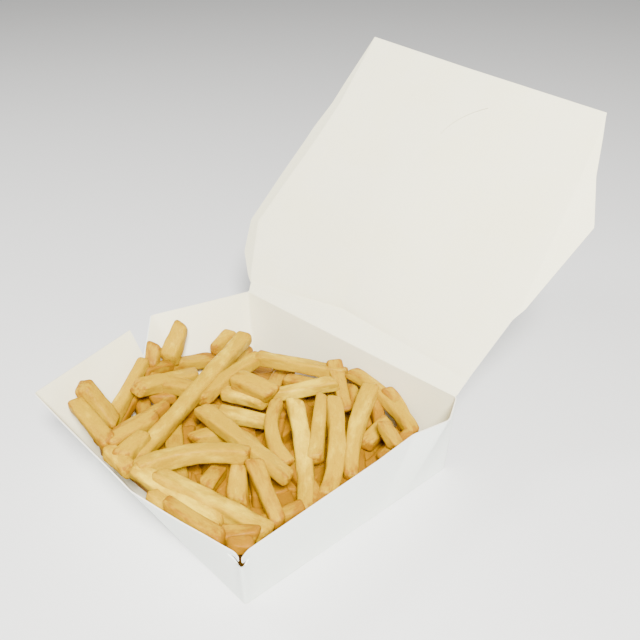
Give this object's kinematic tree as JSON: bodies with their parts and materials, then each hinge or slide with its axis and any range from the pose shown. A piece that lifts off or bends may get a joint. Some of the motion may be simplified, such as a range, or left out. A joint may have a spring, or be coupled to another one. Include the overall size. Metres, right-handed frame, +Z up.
{
  "type": "french fries in a hinged takeaway carton",
  "caption": "Open carton of folded white board with flared walls and a hinged lid, filled with a loose heap of golden french fries",
  "frame": {"origin": "centre of the foot of the whole's bounding box, on the table", "axes": "+X runs along the hinge to the right, +Y from the front wall to the back under the open lid, +Z up"},
  "size_m": [0.1988, 0.263, 0.1719],
  "materials": {
    "tray_board": "white coated board, satin",
    "lid_board": "white coated board, satin",
    "fried_potato": "golden fried potato, slightly oily"
  },
  "bodies": {
    "base": {"carton_tray": "tray_board", "fries": "fried_potato"},
    "lid": {"carton_lid": "lid_board"}
  },
  "joints": [
    {"name": "lid_hinge", "type": "hinge", "parent": "base", "child": "lid", "pos_m": [0.00436, 0.01475, 0.0454], "axis": [1, 0, 0], "range_deg": [-60, 132]}
  ]
}
